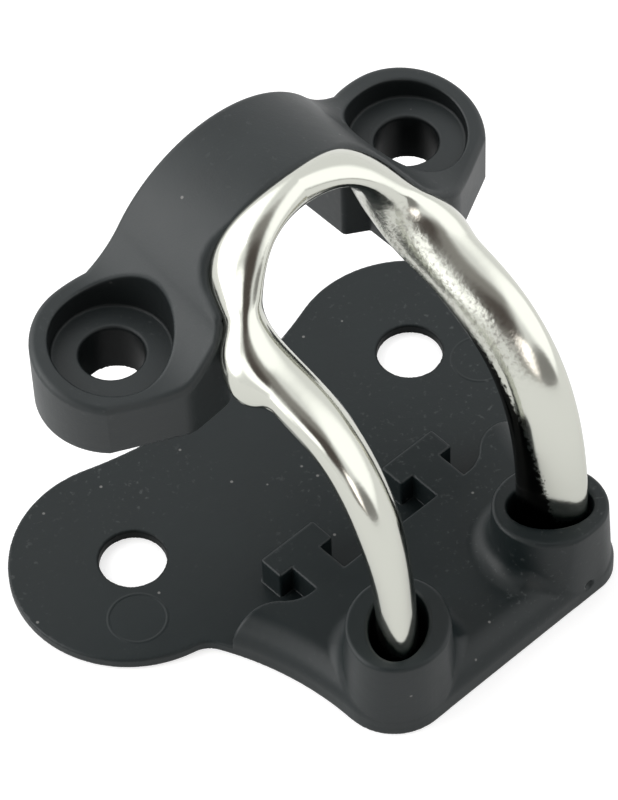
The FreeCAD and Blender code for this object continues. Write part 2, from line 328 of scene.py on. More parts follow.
def crossing_middles(field, cells):
    """Middle, within each cell, of where the surface crosses its edges."""
    values = np.stack([field[tuple((cells + corner).T)] for corner in CORNERS], -1)
    total = np.zeros((len(cells), 3))
    hits = np.zeros(len(cells))
    for a, b in CELL_EDGES:
        va, vb = values[:, a], values[:, b]
        crossed = (va < 0) != (vb < 0)
        share = np.where(crossed, va / np.where(va == vb, 1, va - vb), 0)
        spot = CORNERS[a] + share[:, None] * (CORNERS[b] - CORNERS[a])
        total += np.where(crossed[:, None], spot, 0)
        hits += crossed
    return total / hits[:, None]


def crossing_faces(inside, index, axis):
    """A face, facing out, for each grid edge along the axis that is crossed."""
    one, two = [other for other in range(3) if other != axis]
    ahead = np.moveaxis(inside, axis, 0)
    spots = np.argwhere(np.moveaxis(ahead[1:] != ahead[:-1], 0, axis))
    spots = spots[(spots[:, one] > 0) & (spots[:, two] > 0)]
    ring = []
    for back_one, back_two in ((1, 1), (0, 1), (0, 0), (1, 0)):
        cell = spots.copy()
        cell[:, one] -= back_one
        cell[:, two] -= back_two
        ring.append(index[tuple(cell.T)])
    quads = np.stack(ring, -1)
    leaving = inside[tuple(spots.T)]
    flip = leaving if axis == 1 else ~leaving
    quads[flip] = quads[flip][:, ::-1]
    return quads


def skin(field, low, step):
    """Points and four-sided faces of the surface where the field is zero."""
    field = np.pad(field, 1, constant_values=step)
    low = np.array(low) - step
    inside = field < 0
    count = sum(at_corner(inside, corner).astype(np.int8) for corner in CORNERS)
    cells = np.argwhere((count > 0) & (count < len(CORNERS)))
    index = np.full(count.shape, -1, np.int64)
    index[tuple(cells.T)] = np.arange(len(cells))
    points = (cells + crossing_middles(field, cells)) * step + low
    return points, np.concatenate([crossing_faces(inside, index, axis) for axis in range(3)])


def slope(shape, points, reach):
    """Direction in which the distance grows fastest, and its rate."""
    rise = []
    for shift in reach * np.eye(3):
        rise.append(shape(*(points + shift).T) - shape(*(points - shift).T))
    rise = np.stack(rise, -1) / (2 * reach)
    rate = np.maximum(np.linalg.norm(rise, axis=1), LEAST_SLOPE)
    return rise / rate[:, None], rate


def settle(shape, points, step):
    """Moves the points onto the surface, within the settling limits."""
    start = points.copy()
    furthest = step * ROUND_LIMIT
    for _ in range(SETTLE_ROUNDS):
        way, rate = slope(shape, points, SETTLE_REACH)
        value = shape(*points.T)
        points = points - way * np.clip(value / rate, -furthest, furthest)[:, None]
    drift = points - start
    size = np.maximum(np.linalg.norm(drift, axis=1), LEAST_DRIFT)
    return start + drift * np.minimum(1, step * SETTLE_LIMIT / size)[:, None]


def add_object(name, data):
    """A new object in the scene."""
    obj = bpy.data.objects.new(name, data)
    bpy.context.scene.collection.objects.link(obj)
    return obj


def new_mesh(name, points, faces):
    """Smooth mesh object from points in millimetres."""
    mesh = bpy.data.meshes.new(name)
    mesh.vertices.add(len(points))
    mesh.vertices.foreach_set("co", (np.asarray(points) * MM).astype(np.float32).ravel())
    mesh.loops.add(faces.size)
    mesh.loops.foreach_set("vertex_index", faces.astype(np.int32).ravel())
    mesh.polygons.add(len(faces))
    starts = np.arange(len(faces), dtype=np.int32) * faces.shape[1]
    mesh.polygons.foreach_set("loop_start", starts)
    mesh.update(calc_edges=True)
    mesh.shade_smooth()
    return add_object(name, mesh)


def settled_skin(name, shape, points, faces, step, reach):
    """Mesh object settled on the shape's surface and shaded by its slope."""
    points = settle(shape, points, step)
    obj = new_mesh(name, points, faces)
    way, _ = slope(shape, points, reach)
    obj.data.normals_split_custom_set_from_vertices(way)
    return obj


def moulded_skin(name, shape, box, step):
    """Skin of a moulded piece, made on a grid over the box."""
    points, faces = skin(shape(*grid(*box, step)), box[0], step)
    return settled_skin(name, shape, points, faces, step, MOULDED_REACH)


# --- base plate ---
def circle_meeting(centre_a, reach_a, centre_b, reach_b):
    """Left-hand point at reach_a from centre_a and reach_b from centre_b."""
    span = np.subtract(centre_b, centre_a)
    length = np.hypot(*span)
    step = (reach_a ** 2 - reach_b ** 2 + length ** 2) / (2 * length)
    side = math.sqrt(reach_a ** 2 - step ** 2)
    along = span / length
    normal = np.array([along[1], -along[0]])
    found = [centre_a + along * step + normal * way for way in (side, -side)]
    return min(found, key=lambda spot: spot[0])


def half_outline(corner_r):
    """Right half of the base's plan: waist, lobe, hollow flank and corner."""
    lobe = np.array([SCREW_X, 0.0])
    waist_r = (SCREW_X ** 2 + WAIST_Y ** 2 - LOBE_R ** 2) / (2 * (LOBE_R - WAIST_Y))
    waist = np.array([0.0, WAIST_Y + waist_r])
    side = np.array([BLOCK_HALF_WIDTH + FLANK_R, BLOCK_CORNER_R - BLOCK_FRONT])
    corner = np.array([BLOCK_HALF_WIDTH - corner_r, corner_r - BLOCK_FRONT])
    fillet = circle_meeting(lobe, LOBE_R + FLANK_FILLET_R, side, FLANK_R - FLANK_FILLET_R)
    flank_start = bearing(side, fillet) % math.tau
    return np.concatenate([
        arc_points(waist, waist_r, -math.pi / 2, bearing(waist, lobe), WAIST_POINTS),
        arc_points(lobe, LOBE_R, bearing(lobe, waist), bearing(lobe, fillet), LOBE_POINTS),
        arc_points(fillet, FLANK_FILLET_R, bearing(fillet, lobe), flank_start, FILLET_POINTS),
        arc_points(side, FLANK_R, flank_start, math.pi, FLANK_POINTS),
        arc_points(corner, corner_r, 0, -math.pi / 2, BLOCK_CORNER_POINTS),
    ])


def base_outline():
    """Plan of the base plate; its right front corner is the tighter one."""
    return whole_outline(half_outline(RIGHT_CORNER_R), half_outline(BLOCK_CORNER_R))


def oval_distance(x, y, half_length, half_width):
    """Distance to an oval on each side, long ways toward the front corners."""
    aside = np.abs(x) - SOCKET_X
    ahead = y - SOCKET_Y
    along = aside * math.cos(SOCKET_ANGLE) - ahead * math.sin(SOCKET_ANGLE)
    across = aside * math.sin(SOCKET_ANGLE) + ahead * math.cos(SOCKET_ANGLE)
    return ellipse(along, across, half_length, half_width)


def boss_distance(x, y, z):
    """Tapered oval boss round each socket."""
    growth = BOSS_FOOT_GROWTH * (1 - z / BOSS_TOP_Z)
    wall = oval_distance(x, y, BOSS_TOP_LONG, BOSS_TOP_SHORT) - growth
    return meet(wall, z - BOSS_TOP_Z, BOSS_TOP_EDGE_R)


def socket_distance(x, y, z):
    """Oval blind hole in each boss."""
    wall = oval_distance(x, y, SOCKET_HALF_LENGTH, SOCKET_HALF_WIDTH)
    return np.maximum(wall, SOCKET_FLOOR_Z - z)


def rear_edge_distance(x, y):
    """Distance behind the block's stepped rear edge."""
    bend_r = (STEP_LENGTH ** 2 + STEP_RISE ** 2) / (4 * STEP_RISE)
    turn = math.asin(STEP_LENGTH / 2 / bend_r)
    end_x, end_y = STEP_START_X + STEP_LENGTH, STEP_RISE - BLOCK_REAR
    first = (STEP_START_X, bend_r - BLOCK_REAR)
    second = (end_x, end_y - bend_r)
    right = np.concatenate([
        [(0, -BLOCK_REAR)],
        arc_points(first, bend_r, -math.pi / 2, turn - math.pi / 2, STEP_POINTS),
        arc_points(second, bend_r, math.pi / 2 + turn, math.pi / 2, STEP_POINTS),
        [(FAR, end_y), (FAR, -FAR), (0, -FAR)],
    ])
    return outline_distance(x, y, whole_outline(right, right))


def lug_distance(x, y, z):
    """T-shaped lugs behind the block."""
    aside = np.abs(np.abs(x) - LUG_CENTRE_X)
    head = meet(aside - LUG_HEAD_HALF, slab(y, *LUG_HEAD_Y), LUG_CORNER_R)
    neck_run = slab(y, -BLOCK_REAR - NECK_IN_BLOCK, LUG_HEAD_Y[0] + NECK_IN_HEAD)
    neck = np.maximum(aside - LUG_NECK_HALF, neck_run)
    return meet(np.minimum(head, neck), z - BLOCK_TOP_Z, LUG_EDGE_R)


def base_plate_shape(x, y, z):
    """Plate, block, bosses and lugs, with the pit, sockets and holes cut out."""
    outline = outline_distance(x, y, base_outline())
    plate = meet(outline, slab(z, 0, PLATE_T), PLATE_EDGE_R)
    block = meet(outline, z - BLOCK_TOP_Z, BLOCK_EDGE_R)
    block = meet(block, rear_edge_distance(x, y), REAR_EDGE_R)
    boss = meet(boss_distance(x, y, z), outline, BOSS_FRONT_EDGE_R)
    skirt_r = np.clip(-outline / BLOCK_EDGE_R, LEAST_SKIRT_SHARE, 1) * BOSS_SKIRT_R
    body = join(block, boss, skirt_r)
    body = np.minimum(np.minimum(body, plate), lug_distance(x, y, z))
    body = meet(body, -z, UNDER_EDGE_R)
    pit_x, pit_y, pit_z = PIT_CENTRE
    pit = np.sqrt((x - pit_x) ** 2 + (y - pit_y) ** 2 + (z - pit_z) ** 2) - PIT_R
    body = cut(body, pit, PIT_EDGE_R)
    body = cut(body, socket_distance(x, y, z), SOCKET_EDGE_R)
    return cut(body, np.hypot(np.abs(x) - SCREW_X, y) - SCREW_HOLE_R, SCREW_EDGE_R)


def make_base_plate():
    return moulded_skin("base_plate_skin", base_plate_shape, BASE_BOX, BASE_GRID)


# --- bridge ---
def bridge_outline():
    """Plan of the bridge: rear, ears, and horns on both sides of the rod."""
    rear = math.pi - math.asin(ARCH_REAR_Y / EAR_R)
    ears = arc_points((SCREW_X, 0.0), EAR_R, rear, EAR_FRONT_END, EAR_POINTS)
    outer = (HORN_OUTER_X, HORN_FRONT_Y)
    inner = (HORN_INNER_X, HORN_FRONT_Y + HORN_SLANT)
    notch = (HORN_INNER_X - HORN_SWEEP, ARCH_FRONT_Y)
    middle = (0, ARCH_FRONT_Y)
    right = np.concatenate([
        [(0, ARCH_REAR_Y)],
        ears,
        rounded(ears[-1], outer, inner, HORN_CORNER_R),
        rounded(outer, inner, notch, HORN_TIP_R),
        rounded(inner, notch, middle, NOTCH_R),
        [middle],
    ])
    return whole_outline(right, right)


def bridge_top(x, y, z):
    """Arch over the middle, flared down onto the sloping ears."""
    ear_top = (z - EAR_TOP_Z - EAR_SLOPE * y) / math.hypot(1, EAR_SLOPE)
    crown_z = BRIDGE_TOP_Z - ARCH_OUTER_R
    crown = np.hypot(x, z - crown_z) - ARCH_OUTER_R
    flare_z = EAR_TOP_Z + EAR_SLOPE * y + ARCH_FLARE_R
    reach = ARCH_OUTER_R + ARCH_FLARE_R
    flare_x = np.sqrt(np.maximum(reach ** 2 - (flare_z - crown_z) ** 2, LEAST_SQUARE))
    aside, above = np.abs(x) - flare_x, z - flare_z
    flared = (aside < 0) & (-flare_x * above - (crown_z - flare_z) * aside > 0)
    return np.where(flared, ARCH_FLARE_R - np.hypot(aside, above), np.minimum(crown, ear_top))


def top_edge_radius(x, y):
    """Radius of the top edge, which is wider on the horns beside the rod."""
    rise = np.clip((np.abs(x) - GROWTH_INNER_X) / GROWTH_RISE, 0, 1)
    fall = np.clip((GROWTH_OUTER_X - np.abs(x)) / GROWTH_FALL, 0, 1)
    return TOP_EDGE_R + TOP_EDGE_GROWTH * (rise * fall * (y < 0))


def opening_distance(x, z):
    """Arched rope opening below the arch."""
    return np.where(z < OPENING_Z, np.abs(x), np.hypot(x, z - OPENING_Z)) - OPENING_R


def rod_recess_distance(x, y, z):
    """Recess in the front, which grows shallower at its sides."""
    slant = RECESS_SLANT / (RECESS_HALF_WIDTH - OPENING_R)
    behind = y - ARCH_FRONT_Y - RECESS_DEPTH + np.maximum(np.abs(x) - OPENING_R, 0) * slant
    walls = np.maximum(np.abs(x) - RECESS_HALF_WIDTH, behind / math.hypot(1, slant))
    return np.maximum(walls, z - BRIDGE_Z - RECESS_HEIGHT)


def bridge_shape(x, y, z):
    """Arch, ears and horns, with the opening, recesses and holes cut out."""
    outline = outline_distance(x, y, bridge_outline())
    body = meet(bridge_top(x, y, z), outline, top_edge_radius(x, y))
    body = meet(body, BRIDGE_Z - z, LOWER_EDGE_R)
    body = cut(body, opening_distance(x, z), OPENING_EDGE_R)
    body = cut(body, rod_recess_distance(x, y, z), ROD_RECESS_EDGE_R)
    from_screw = np.hypot(np.abs(x) - SCREW_X, y)
    body = cut(body, from_screw - BRIDGE_HOLE_R, BRIDGE_HOLE_EDGE_R)
    head_recess = meet(from_screw - HEAD_RECESS_R, HEAD_RECESS_Z - z, HEAD_RECESS_FLOOR_R)
    return cut(body, head_recess, HEAD_RECESS_EDGE_R)


def make_bridge():
    return moulded_skin("bridge_skin", bridge_shape, BRIDGE_BOX, BRIDGE_GRID)


# --- bent rod ---
def spline(poles, shares):
    """Points on the smooth curve of these control points, and their change."""
    poles = np.asarray(poles, float)
    between = np.linspace(0, 1, len(poles) - CURVE_DEGREE + 1)
    knots = np.concatenate([[0] * CURVE_DEGREE, between, [1] * CURVE_DEGREE])

    def weights(at):
        basis = np.zeros((len(knots) - 1, len(at)))
        for i in range(len(knots) - 1):
            basis[i] = (knots[i] <= at) & (at < knots[i + 1])
        for d in range(1, CURVE_DEGREE + 1):
            for i in range(len(knots) - 1 - d):
                left = knots[i + d] - knots[i]
                right = knots[i + d + 1] - knots[i + 1]
                first = (at - knots[i]) / left * basis[i] if left else 0
                second = (knots[i + d + 1] - at) / right * basis[i + 1] if right else 0
                basis[i] = first + second
        return basis[: len(poles)]

    at = np.clip(shares, 0, CURVE_END)
    after = np.clip(at + CURVE_STEP, 0, CURVE_END)
    before = np.clip(at - CURVE_STEP, 0, 1)
    change = (weights(after) - weights(before)).T @ poles / (after - before)[:, None]
    return weights(at).T @ poles, change


def path_samples():
    """Shares spread evenly along the rod's path, and the points there."""
    shares = np.linspace(0, 1, ROD_SAMPLES)
    return shares, spline(ROD_POLES, shares)[0]


def rod_section(share):
    """Centre, long way, short way and sizes of the rod's section at each share."""
    centre, change = spline(ROD_POLES, share)
    onward = change / np.linalg.norm(change, axis=1)[:, None]
    size, _ = spline(ROD_SIZES, share)
    turn = np.radians(-size[:, 2])
    wide = np.stack([np.cos(turn), np.sin(turn), 0 * turn], -1)
    wide -= (wide * onward).sum(1)[:, None] * onward
    wide /= np.linalg.norm(wide, axis=1)[:, None]
    return centre, wide, np.cross(onward, wide), size


def nearest_share(points):
    """Share of the rod's path that lies nearest to each point, roughly."""
    best = np.full(len(points), np.inf)
    found = np.zeros(len(points))
    for share, spot in zip(*path_samples()):
        gap = ((points - spot) ** 2).sum(1)
        nearer = gap < best
        best[nearer] = gap[nearer]
        found[nearer] = share
    return found


def rod_distance(points, share):
    """Distance to the plain rod, from a share of its path near each point."""
    for _ in range(NEAREST_ROUNDS):
        centre, change = spline(ROD_POLES, share)
        step = ((points - centre) * change).sum(1) / (change * change).sum(1)
        share = np.clip(share + step, 0, 1)
    centre, wide, flat, size = rod_section(share)
    along = ((points - centre) * wide).sum(1)
    across = ((points - centre) * flat).sum(1)
    return ellipse(along, across, size[:, 0], size[:, 1])


def knuckle_distance(points):
    """Distance to the flat bump outside the right bend."""
    facing = np.array(KNUCKLE_FACING) / np.linalg.norm(KNUCKLE_FACING)
    level = np.cross((0, 0, 1), facing)
    level = level / np.linalg.norm(level)
    upward = np.cross(facing, level)
    cosine, sine = math.cos(KNUCKLE_TURN), math.sin(KNUCKLE_TURN)
    rows = np.array([facing, level * cosine - upward * sine, upward * cosine + level * sine])
    spot = (points - KNUCKLE_CENTRE) @ rows.T
    share = np.linalg.norm(spot / KNUCKLE_HALF, axis=1)
    rate = np.linalg.norm(spot / np.square(KNUCKLE_HALF), axis=1)
    return share * (share - 1) / np.maximum(rate, LEAST_RATE)


def eye_distance(points, share):
    """Distance to the rod with its knuckle, for points right of the middle."""
    rod = join(rod_distance(points, share), knuckle_distance(points), KNUCKLE_BLEND)
    return np.maximum(rod, ROD_FOOT_Z - points[:, 2])


def rod_field(axes):
    """The distance on a grid over the right half, far off it a plain value."""
    field = np.full([axis.size for axis in axes], ROD_BAND)
    near = np.zeros(field.shape, bool)
    for spot in path_samples()[1]:
        low = [int((spot[i] - ROD_BAND - axes[i].flat[0]) / ROD_GRID) for i in range(3)]
        high = [int((spot[i] + ROD_BAND - axes[i].flat[0]) / ROD_GRID) + 1 for i in range(3)]
        near[tuple(slice(max(a, 0), b) for a, b in zip(low, high))] = True
    cells = np.argwhere(near)
    points = np.stack([axis.ravel()[cells[:, i]] for i, axis in enumerate(axes)], -1)
    field[near] = eye_distance(points, nearest_share(points))
    return field


def make_rod():
    """Mesh of the whole rod, made as a mirrored pair of halves."""
    axes = grid(*ROD_HALF_BOX, ROD_GRID)
    half = rod_field(axes)
    corner = [-axes[0].flat[-1], axes[1].flat[0], axes[2].flat[0]]
    points, faces = skin(np.concatenate([half[:0:-1], half]), corner, ROD_GRID)
    share = nearest_share(np.stack([np.abs(points[:, 0]), points[:, 1], points[:, 2]], -1))

    def shape(x, y, z):
        return eye_distance(np.stack([np.abs(x), y, z], -1), share)

    return settled_skin("wire_eye_skin", shape, points, faces, ROD_GRID, ROD_REACH)


# --- materials ---
class Recipe:
    """Shader nodes of a material or world, and short ways to add and join them."""

    def __init__(self, tree):
        self.nodes = tree.nodes
        self.links = tree.links

    def feed(self, socket, value):
        """Links an output to the socket, or sets a number, vector or colour."""
        if isinstance(value, bpy.types.NodeSocket):
            self.links.new(value, socket)
        elif socket.type == "RGBA":
            socket.default_value = (*value, 1)
        else:
            socket.default_value = value

    def add(self, kind, inputs=(), **settings):
        """A new node with these settings, its inputs fed by name or number."""
        node = self.nodes.new("ShaderNode" + kind)
        for name, value in settings.items():
            setattr(node, name, value)
        for name, value in dict(inputs).items():
            self.feed(node.inputs[name], value)
        return node

    def parts(self, vector):
        """The vector's X, Y and Z."""
        outputs = self.add("SeparateXYZ", {"Vector": vector}).outputs
        return outputs["X"], outputs["Y"], outputs["Z"]

    def ramp(self, value, low, high):
        """Rises from 0 at low to 1 at high as the value does."""
        limits = {"Value": value, "From Min": low, "From Max": high}
        return self.add("MapRange", limits, interpolation_type="SMOOTHSTEP").outputs["Result"]

    def combine(self, operation, *values):
        """Result of a mathematical operation on outputs or plain numbers."""
        return self.add("Math", enumerate(values), operation=operation).outputs["Value"]

    def product(self, first, *others):
        """All of these multiplied."""
        for other in others:
            first = self.combine("MULTIPLY", first, other)
        return first

    def scaled(self, value, factor, offset):
        """The value times the factor, plus the offset."""
        return self.combine("MULTIPLY_ADD", value, factor, offset)

    def blend(self, factor, first, second):
        """Mix of two colours, each an output or a plain colour."""
        inputs = {"Factor": factor, "A": first, "B": second}
        return self.add("Mix", inputs, data_type="RGBA").outputs["Result"]

    def noise(self, place, scale, detail):
        """Cloudy pattern, its scale in repeats per metre."""
        inputs = {"Vector": place, "Scale": scale, "Detail": detail}
        return self.add("TexNoise", inputs).outputs["Fac"]

    def bump(self, height, strength, depth, under=None):
        """Normal of a relief, depth in metres, over another if there is one."""
        inputs = {"Strength": strength, "Distance": depth, "Height": height}
        if under:
            inputs["Normal"] = under
        return self.add("Bump", inputs).outputs["Normal"]

    def plan_distance(self, place, centre):
        """Distance in plan from the nearer of two mirrored spots, in metres."""
        plan = self.add("VectorMath", {0: place, 1: (1, 1, 0)}, operation="MULTIPLY")
        x, y, _ = self.parts(plan.outputs["Vector"])
        folded = self.add("CombineXYZ", {"X": self.combine("ABSOLUTE", x), "Y": y})
        spot = (centre[0] * MM, centre[1] * MM, 0)
        gap = self.add("VectorMath", {0: folded.outputs["Vector"], 1: spot}, operation="DISTANCE")
        return gap.outputs["Value"]


def new_material(name):
    """A material, its recipe and the inputs of its surface."""
    material = bpy.data.materials.new(name)
    material.use_nodes = True
    recipe = Recipe(material.node_tree)
    return material, recipe, recipe.nodes["Principled BSDF"].inputs


# Patterns: scale in repeats per metre and detail
PLAIN_DETAIL = 3.0
CLOUDS = (260.0, 4.0)
POWDER = (2600.0, PLAIN_DETAIL)
POWDER_PATCHES = (90.0, PLAIN_DETAIL)
FINE_GRAIN = (6500.0, PLAIN_DETAIL)
COARSE_GRAIN = (900.0, PLAIN_DETAIL)
SPECK_SCALE = 420.0
# Where a pattern starts to count and where it counts in full
POWDER_RANGE = (0.6, 0.75)
PATCH_RANGE = (0.4, 0.7)
SPECK_RANGE = (0.06, 0.03)
# Plastic: the two pieces' own colour and strength of grain, then what they share
BRIDGE_COLOUR = (0.019, 0.0235, 0.0245)
BRIDGE_GRAIN = 0.25
BASE_COLOUR = (0.005, 0.0092, 0.01)
BASE_GRAIN = 0.2
CLOUD_SHADES = (0.8, 1.2)
HAZE_SHARE = 0.12
HAZE_COLOUR = (0.3, 0.31, 0.31)
SPECK_COLOUR = (0.14, 0.14, 0.135)
PLASTIC_GLOSS = 0.36
PLASTIC_ROUGHNESS = 0.36
CLOUD_ROUGHNESS = 0.14
GRAIN_DEPTH = 0.00003
COARSE_GRAIN_STRENGTH = 0.5
# Painted shade in the holes and on the head recess's wall: ranges in
# millimetres from the radius, share of the wall, painted shade and loss of gloss
BORE_RANGE = (0.25, -0.05)
WALL_OUTER_RANGE = (0.1, 0.02)
WALL_INNER_RANGE = (-0.2, -0.05)
WALL_SHARE = 0.85
PAINTED_BORE_SHADE = 0.3
PAINTED_SHADE_GLOSS_LOSS = -0.28
# Ejector marks: half width in millimetres, strength and depth in metres
RING_HALF_WIDTH = 0.16
RING_STRENGTH = 0.6
RING_DEPTH = 0.00005


def plastic(name, colour, grain, shaded_bore_r, rings=(), shaded_recess_r=0.0):
    """Satin moulded plastic with fine grain, faint clouds, specks of dust and painted shade in the holes
    and on the recess wall.
    """
    material, recipe, surface = new_material(name)
    place = recipe.add("TexCoord").outputs["Object"]
    cloud = recipe.noise(place, *CLOUDS)
    shades = [tuple(part * shade for part in colour) for shade in CLOUD_SHADES]
    dust = recipe.add("TexVoronoi", {"Vector": place, "Scale": SPECK_SCALE})
    speck = recipe.ramp(dust.outputs["Distance"], *SPECK_RANGE)
    powder = recipe.ramp(recipe.noise(place, *POWDER), *POWDER_RANGE)
    patches = recipe.ramp(recipe.noise(place, *POWDER_PATCHES), *PATCH_RANGE)
    tint = recipe.blend(cloud, *shades)
    tint = recipe.blend(recipe.product(powder, patches, HAZE_SHARE), tint, HAZE_COLOUR)
    tint = recipe.blend(speck, tint, SPECK_COLOUR)

    from_screw = recipe.plan_distance(place, (SCREW_X, 0))

    def ring(radius, limits):
        return recipe.ramp(from_screw, *[(radius + limit) * MM for limit in limits])

    # Painted shade: the insides of the holes and the head recess's wall get a darker colour and less
    # gloss
    painted_shade = ring(shaded_bore_r, BORE_RANGE)
    if shaded_recess_r:
        wall = recipe.product(ring(shaded_recess_r, WALL_OUTER_RANGE), ring(shaded_recess_r, WALL_INNER_RANGE), WALL_SHARE)
        painted_shade = recipe.combine("MAXIMUM", painted_shade, wall)
    painted_shade_tone = tuple(part * PAINTED_BORE_SHADE for part in colour)
    recipe.feed(surface["Base Color"], recipe.blend(painted_shade, tint, painted_shade_tone))
    recipe.feed(surface["Specular IOR Level"], recipe.scaled(painted_shade, PAINTED_SHADE_GLOSS_LOSS, PLASTIC_GLOSS))
    recipe.feed(surface["Roughness"], recipe.scaled(cloud, CLOUD_ROUGHNESS, PLASTIC_ROUGHNESS))

    normal = recipe.bump(recipe.noise(place, *FINE_GRAIN), grain, GRAIN_DEPTH)
    coarse = recipe.noise(place, *COARSE_GRAIN)
    normal = recipe.bump(coarse, COARSE_GRAIN_STRENGTH, GRAIN_DEPTH, normal)
    for centre, radius in rings:
        off = recipe.combine("SUBTRACT", recipe.plan_distance(place, centre), radius * MM)
        mark = recipe.ramp(recipe.combine("ABSOLUTE", off), RING_HALF_WIDTH * MM, 0.0)
        normal = recipe.bump(mark, RING_STRENGTH, RING_DEPTH, normal)
    recipe.feed(surface["Normal"], normal)
    return material


# Steel: colours of its polish, of the pits and of the painted dark reflection where it mirrors dark
# things
STEEL_COLOUR = (0.63, 0.64, 0.58)
STEEL_PIT_COLOUR = (0.3, 0.29, 0.26)
PAINTED_DARK_REFLECTION_COLOUR = (0.035, 0.035, 0.03)
STEEL_ROUGHNESS = 0.13
WORN_ROUGHNESS = 0.12
# Worn inside of the right leg's bend: ranges of x, of the normal's x and of z
RIGHT_LEG_X = (4.4, 5.6)
INWARD_NORMAL = (-0.3, -0.75)
WORN_Z = (19, 23)
STEEL_PIT_RANGE = (0.46, 0.8)
# Painted dark reflection on the left side of that leg: how its normal and height count, how
# ragged its edge is and where it fades
LEFTWARD_X = -0.73
LEFTWARD_Y = 0.68
LEFTWARD_Z = -0.04
RAGGED_SHARE = 0.4
RAGGED_RANGE = (-0.03, 0.05)
PAINTED_SIDE_REFLECTION_Z = (24, 21)
# Painted shade on the foot of both legs, which lies in the shade of the sockets and mirrors their dark
# insides, and its uneven edge
FOOT_Z = (6.5, 6.1)
FOOT_UNEVENNESS = -2
# Patterns in the steel: scale and detail, then strength and depth in metres
STEEL_PITS = (3300.0, 6.0)
WAVES = (330.0, PLAIN_DETAIL)
WAVE_RELIEF = (0.25, 0.0001)
BRUSHING = (5200.0, 4.0)
BRUSHING_RELIEF = (0.12, 0.00002)
SCRATCHES = (2400.0, 5.0)
SCRATCH_RELIEF = (0.6, 0.00006)


def steel():
    """Polished stainless steel, rough where the tool left the inside of a bend, with a painted dark
    reflection on the right leg's left side and painted shade on the feet.
    """
    material, recipe, surface = new_material("polished_steel")
    place = recipe.add("TexCoord").outputs["Object"]
    x, _, z = recipe.parts(place)
    normal_x, normal_y, _ = recipe.parts(recipe.add("NewGeometry").outputs["Normal"])

    def span(value, limits):
        return recipe.ramp(value, *[limit * MM for limit in limits])

    right = span(x, RIGHT_LEG_X)
    worn = recipe.product(right, recipe.ramp(normal_x, *INWARD_NORMAL), span(z, WORN_Z))
    coarse = recipe.noise(place, *STEEL_PITS)
    pits = recipe.product(worn, recipe.ramp(coarse, *STEEL_PIT_RANGE))
    # Painted dark reflection: the right leg's left side is darkened by the way it faces
    leftward = recipe.product(normal_y, LEFTWARD_Y)
    leftward = recipe.scaled(normal_x, LEFTWARD_X, leftward)
    leftward = recipe.scaled(z, LEFTWARD_Z / MM, leftward)
    ragged = recipe.scaled(coarse, RAGGED_SHARE, leftward)
    side = recipe.product(right, recipe.ramp(ragged, *RAGGED_RANGE), span(z, PAINTED_SIDE_REFLECTION_Z))
    # Painted shade on the feet, where they stand in the dark sockets
    painted_foot_shade = span(recipe.scaled(coarse, FOOT_UNEVENNESS * MM, z), FOOT_Z)
    tone = recipe.blend(pits, STEEL_COLOUR, STEEL_PIT_COLOUR)
    tone = recipe.blend(recipe.combine("MAXIMUM", side, painted_foot_shade), tone, PAINTED_DARK_REFLECTION_COLOUR)
    recipe.feed(surface["Metallic"], 1.0)
    recipe.feed(surface["Base Color"], tone)
    recipe.feed(surface["Roughness"], recipe.scaled(worn, WORN_ROUGHNESS, STEEL_ROUGHNESS))

    normal = recipe.bump(recipe.noise(place, *WAVES), *WAVE_RELIEF)
    normal = recipe.bump(recipe.noise(place, *BRUSHING), *BRUSHING_RELIEF, normal)
    scratch = recipe.product(worn, recipe.noise(place, *SCRATCHES))
    normal = recipe.bump(scratch, *SCRATCH_RELIEF, normal)
    recipe.feed(surface["Normal"], normal)
    return material


# --- floor, light and camera, in metres where not said otherwise ---
FLOOR_HALF = 1.5
FLOOR_Z = -0.00002
FLOOR_GREY = 0.56
FLOOR_ROUGHNESS = 0.9
# How brightly the floor shows to the camera and in what mirrors it
FLOOR_SEEN = 0.62
FLOOR_MIRRORED = 0.29
WHITE = (1.0, 1.0, 1.0)

LAMP_PLACE = (-0.3, 0.25, 0.4)
LAMP_AIM = (0, 0, 0.015)
LAMP_SIZE = (0.25, 0.25)
LAMP_POWER = 0.4

# Light all round, and soft patches of the studio in it: bearing and height in
# degrees, where the patch is full, where it has faded out, colour, brightness
STUDIO_LEVEL = 1.0
STUDIO_PATCHES = [
    (-150.0, 34.0, 24.0, 42.0, WHITE, 2.1),
    (47.0, 33.0, 26.0, 44.0, WHITE, 1.6),
    (-50.0, 66.0, 12.0, 30.0, (1.0, 0.95, 0.92), 0.32),
    (-52.0, 40.0, 14.0, 33.0, (1.0, 0.84, 0.78), 0.1),
    (-40.0, 0.0, 8.0, 20.0, (1.0, 0.95, 0.9), 0.35),
    (-28.0, 16.0, 9.0, 15.0, (1.0, 0.93, 0.9), 2.4),
    (-122.0, 16.0, 8.0, 28.0, WHITE, 3.8),
    (-84.0, 28.0, 9.0, 17.0, WHITE, 1.8),
    (-2.0, 0.0, 16.0, 30.0, (1.0, 0.97, 0.95), 0.3),
]

# Camera: bearing, height and roll in degrees, distance and aim in millimetres
CAMERA_BEARING = -41.048
CAMERA_HEIGHT = 51.192
CAMERA_ROLL = -2.555
CAMERA_DISTANCE = 298.636
CAMERA_AIM = (0.327, -3.727, 10.0)
FOCAL_PIXELS = 4293.846
IMAGE_WIDTH = 618
SENSOR_WIDTH = 36.0
CLIP_START = 0.01


